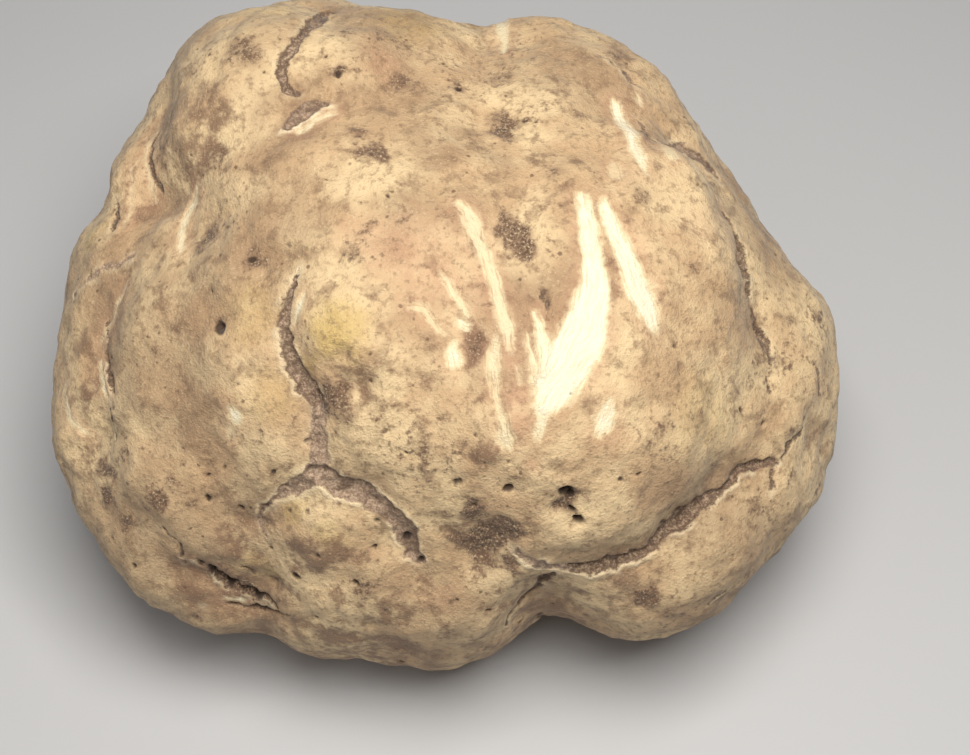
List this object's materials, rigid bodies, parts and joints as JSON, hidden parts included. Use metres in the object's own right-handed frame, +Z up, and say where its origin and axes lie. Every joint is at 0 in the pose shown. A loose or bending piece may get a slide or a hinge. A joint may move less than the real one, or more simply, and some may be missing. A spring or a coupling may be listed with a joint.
{
  "type": "white truffle",
  "caption": "Whole fresh white truffle: a knobbly, lobed, flattened ball with soil-filled furrows, pits and pale scrapes, resting on a small flat spot.",
  "frame": {"origin": "middle of the bounding box in plan, on the plane that the truffle rests on", "axes": "+Z up out of the resting plane, +X to the right along the longest extent, -Y towards the front"},
  "size_m": [0.107, 0.0918, 0.0714],
  "materials": {
    "skin": "matt suede-like ochre peridium with soil in the furrows and pale cream scrapes"
  },
  "bodies": {
    "root": {"truffle": "skin"}
  },
  "joints": []
}
